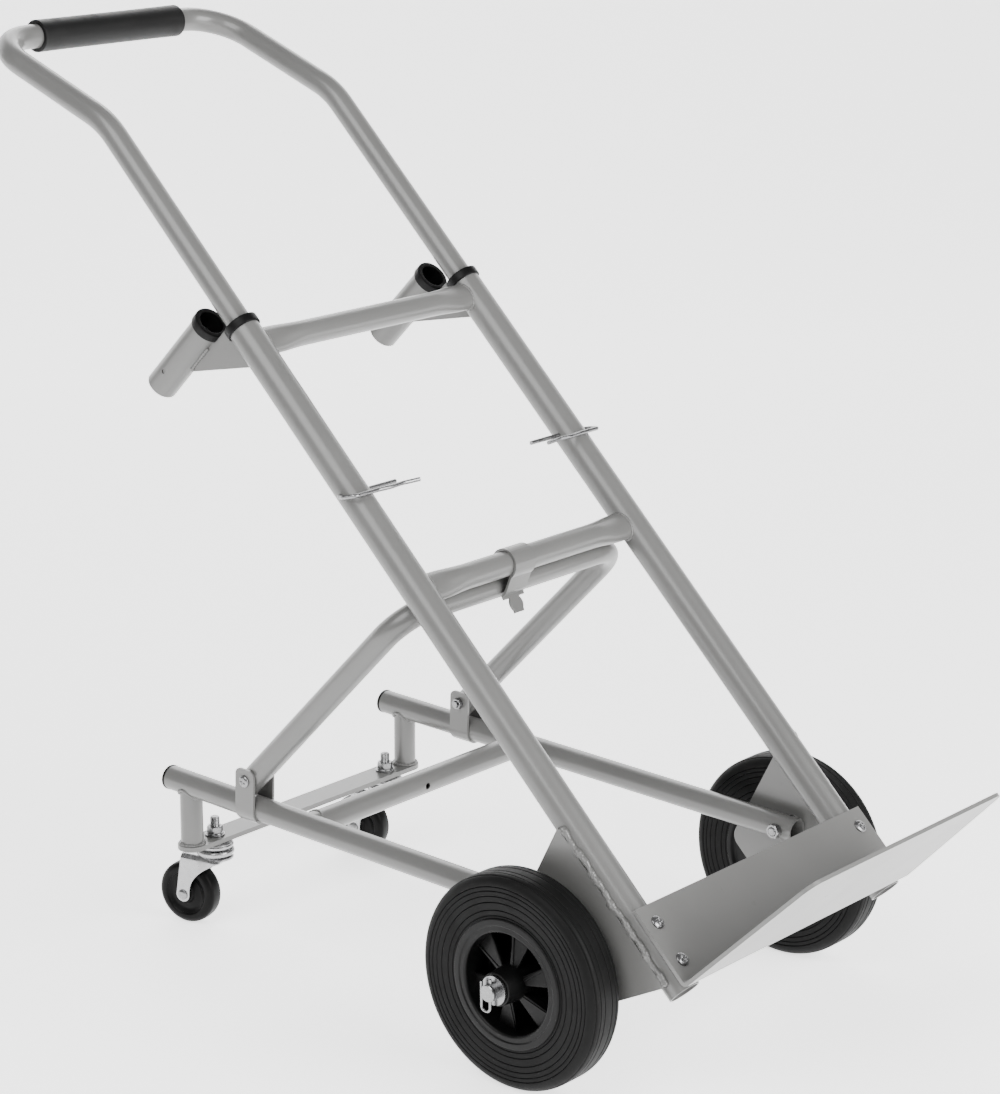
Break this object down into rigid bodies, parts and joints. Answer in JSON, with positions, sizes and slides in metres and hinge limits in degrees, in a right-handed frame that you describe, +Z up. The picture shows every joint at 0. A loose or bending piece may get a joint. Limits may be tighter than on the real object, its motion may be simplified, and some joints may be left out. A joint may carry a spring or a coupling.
{
  "type": "convertible hand truck",
  "caption": "Tubular steel hand truck that converts to a cart: toe plate, large wheels, folding castor frame with strut and latch hook, and a removable loop handle.",
  "frame": {"origin": "on the floor, under the middle of the bounding box", "axes": "+X right as seen from the toe plate, -Y to the toe plate (front), +Z up; left is -X"},
  "size_m": [0.6234, 1.26, 1.0958],
  "materials": {
    "painted_tube": "satin warm light grey powder coat",
    "painted_plate": "satin warm light grey powder coat",
    "black_plastic": "moulded, slight sheen",
    "grip_rubber": "smooth rubber sleeve",
    "tyre_rubber": "solid rubber with fine grooves",
    "hub_plastic": "moulded",
    "castor_rubber": "hard rubber",
    "castor_plastic": "moulded",
    "bearing_steel": "machined",
    "zinc_pressing": "bright zinc plated",
    "zinc_hardware": "zinc plated"
  },
  "bodies": {
    "main_frame": {"axle": "zinc_hardware", "axle_clips": "zinc_hardware", "axle_spacers": "zinc_hardware", "axle_washers": "zinc_hardware", "crossbar_middle": "painted_tube", "crossbar_upper": "painted_tube", "pivot_bolts": "zinc_hardware", "pivot_nuts": "zinc_hardware", "pivot_washers": "zinc_hardware", "rail_collar_left": "black_plastic", "rail_collar_right": "black_plastic", "rail_left": "painted_tube", "rail_right": "painted_tube", "socket_collar_left": "black_plastic", "socket_collar_right": "black_plastic", "socket_gusset_left": "painted_tube", "socket_gusset_right": "painted_tube", "socket_left": "painted_tube", "socket_right": "painted_tube", "toe_plate": "painted_plate", "toe_plate_nuts": "zinc_hardware", "toe_plate_screws": "zinc_hardware", "wheel_gusset_left": "painted_tube", "wheel_gusset_right": "painted_tube"},
    "handle": {"handle_grip": "grip_rubber", "handle_tube": "painted_tube"},
    "pin_left": {"hairpin_left": "zinc_hardware"},
    "pin_right": {"hairpin_right": "zinc_hardware"},
    "castor_frame": {"bracket_bolts": "zinc_hardware", "bracket_nuts": "zinc_hardware", "castor_bar": "painted_tube", "castor_cap_left": "zinc_pressing", "castor_cap_right": "zinc_pressing", "castor_cross_tube": "painted_tube", "castor_nuts": "zinc_hardware", "castor_post_left": "painted_tube", "castor_post_right": "painted_tube", "castor_stud_left": "zinc_hardware", "castor_stud_right": "zinc_hardware", "castor_tube_caps": "black_plastic", "castor_tube_left": "painted_tube", "castor_tube_right": "painted_tube", "strut_bracket_left": "painted_tube", "strut_bracket_right": "painted_tube"},
    "strut": {"strut_tube": "painted_tube"},
    "hook": {"latch_hook": "painted_tube"},
    "wheel_left": {"hub_left": "hub_plastic", "tyre_left": "tyre_rubber", "wheel_bearings_left": "bearing_steel"},
    "wheel_right": {"hub_right": "hub_plastic", "tyre_right": "tyre_rubber", "wheel_bearings_right": "bearing_steel"},
    "castor_fork_left": {"castor_axle_left": "zinc_hardware", "castor_fork_left": "zinc_pressing"},
    "castor_fork_right": {"castor_axle_right": "zinc_hardware", "castor_fork_right": "zinc_pressing"},
    "castor_wheel_left": {"castor_hub_left": "castor_plastic", "castor_tyre_left": "castor_rubber"},
    "castor_wheel_right": {"castor_hub_right": "castor_plastic", "castor_tyre_right": "castor_rubber"}
  },
  "joints": [
    {"name": "handle_slide", "type": "slide", "parent": "main_frame", "child": "handle", "axis": [0, 0.715, 0.6992], "range_m": [0, 0.35]},
    {"name": "pin_left_pull", "type": "slide", "parent": "main_frame", "child": "pin_left", "axis": [-1, 0, 0], "range_m": [0, 0.105]},
    {"name": "pin_right_pull", "type": "slide", "parent": "main_frame", "child": "pin_right", "axis": [1, 0, 0], "range_m": [0, 0.105]},
    {"name": "castor_frame_fold", "type": "hinge", "parent": "main_frame", "child": "castor_frame", "pos_m": [0, -0.32351, 0.18264], "axis": [1, 0, 0], "range_deg": [-35, 0]},
    {"name": "strut_fold", "type": "hinge", "parent": "castor_frame", "child": "strut", "pos_m": [0, 0.17578, 0.23248], "axis": [1, 0, 0], "range_deg": [-130, 0]},
    {"name": "hook_turn", "type": "hinge", "parent": "main_frame", "child": "hook", "pos_m": [-0.027, -0.08713, 0.51618], "axis": [1, 0, 0], "range_deg": [-100, 0]},
    {"name": "wheel_left_spin", "type": "hinge", "parent": "main_frame", "child": "wheel_left", "pos_m": [-0.25475, -0.2912, 0.125], "axis": [1, 0, 0], "continuous": true},
    {"name": "wheel_right_spin", "type": "hinge", "parent": "main_frame", "child": "wheel_right", "pos_m": [0.25475, -0.2912, 0.125], "axis": [1, 0, 0], "continuous": true},
    {"name": "castor_left_swivel", "type": "hinge", "parent": "castor_frame", "child": "castor_fork_left", "pos_m": [-0.1559, 0.28629, 0.1], "axis": [0, 0, 1], "continuous": true},
    {"name": "castor_left_spin", "type": "hinge", "parent": "castor_fork_left", "child": "castor_wheel_left", "pos_m": [-0.1638, 0.32346, 0.04], "axis": [0.9781, 0.2079, 0], "continuous": true},
    {"name": "castor_right_swivel", "type": "hinge", "parent": "castor_frame", "child": "castor_fork_right", "pos_m": [0.1559, 0.28629, 0.1], "axis": [0, 0, 1], "continuous": true},
    {"name": "castor_right_spin", "type": "hinge", "parent": "castor_fork_right", "child": "castor_wheel_right", "pos_m": [0.148, 0.32346, 0.04], "axis": [0.9781, 0.2079, 0], "continuous": true}
  ]
}
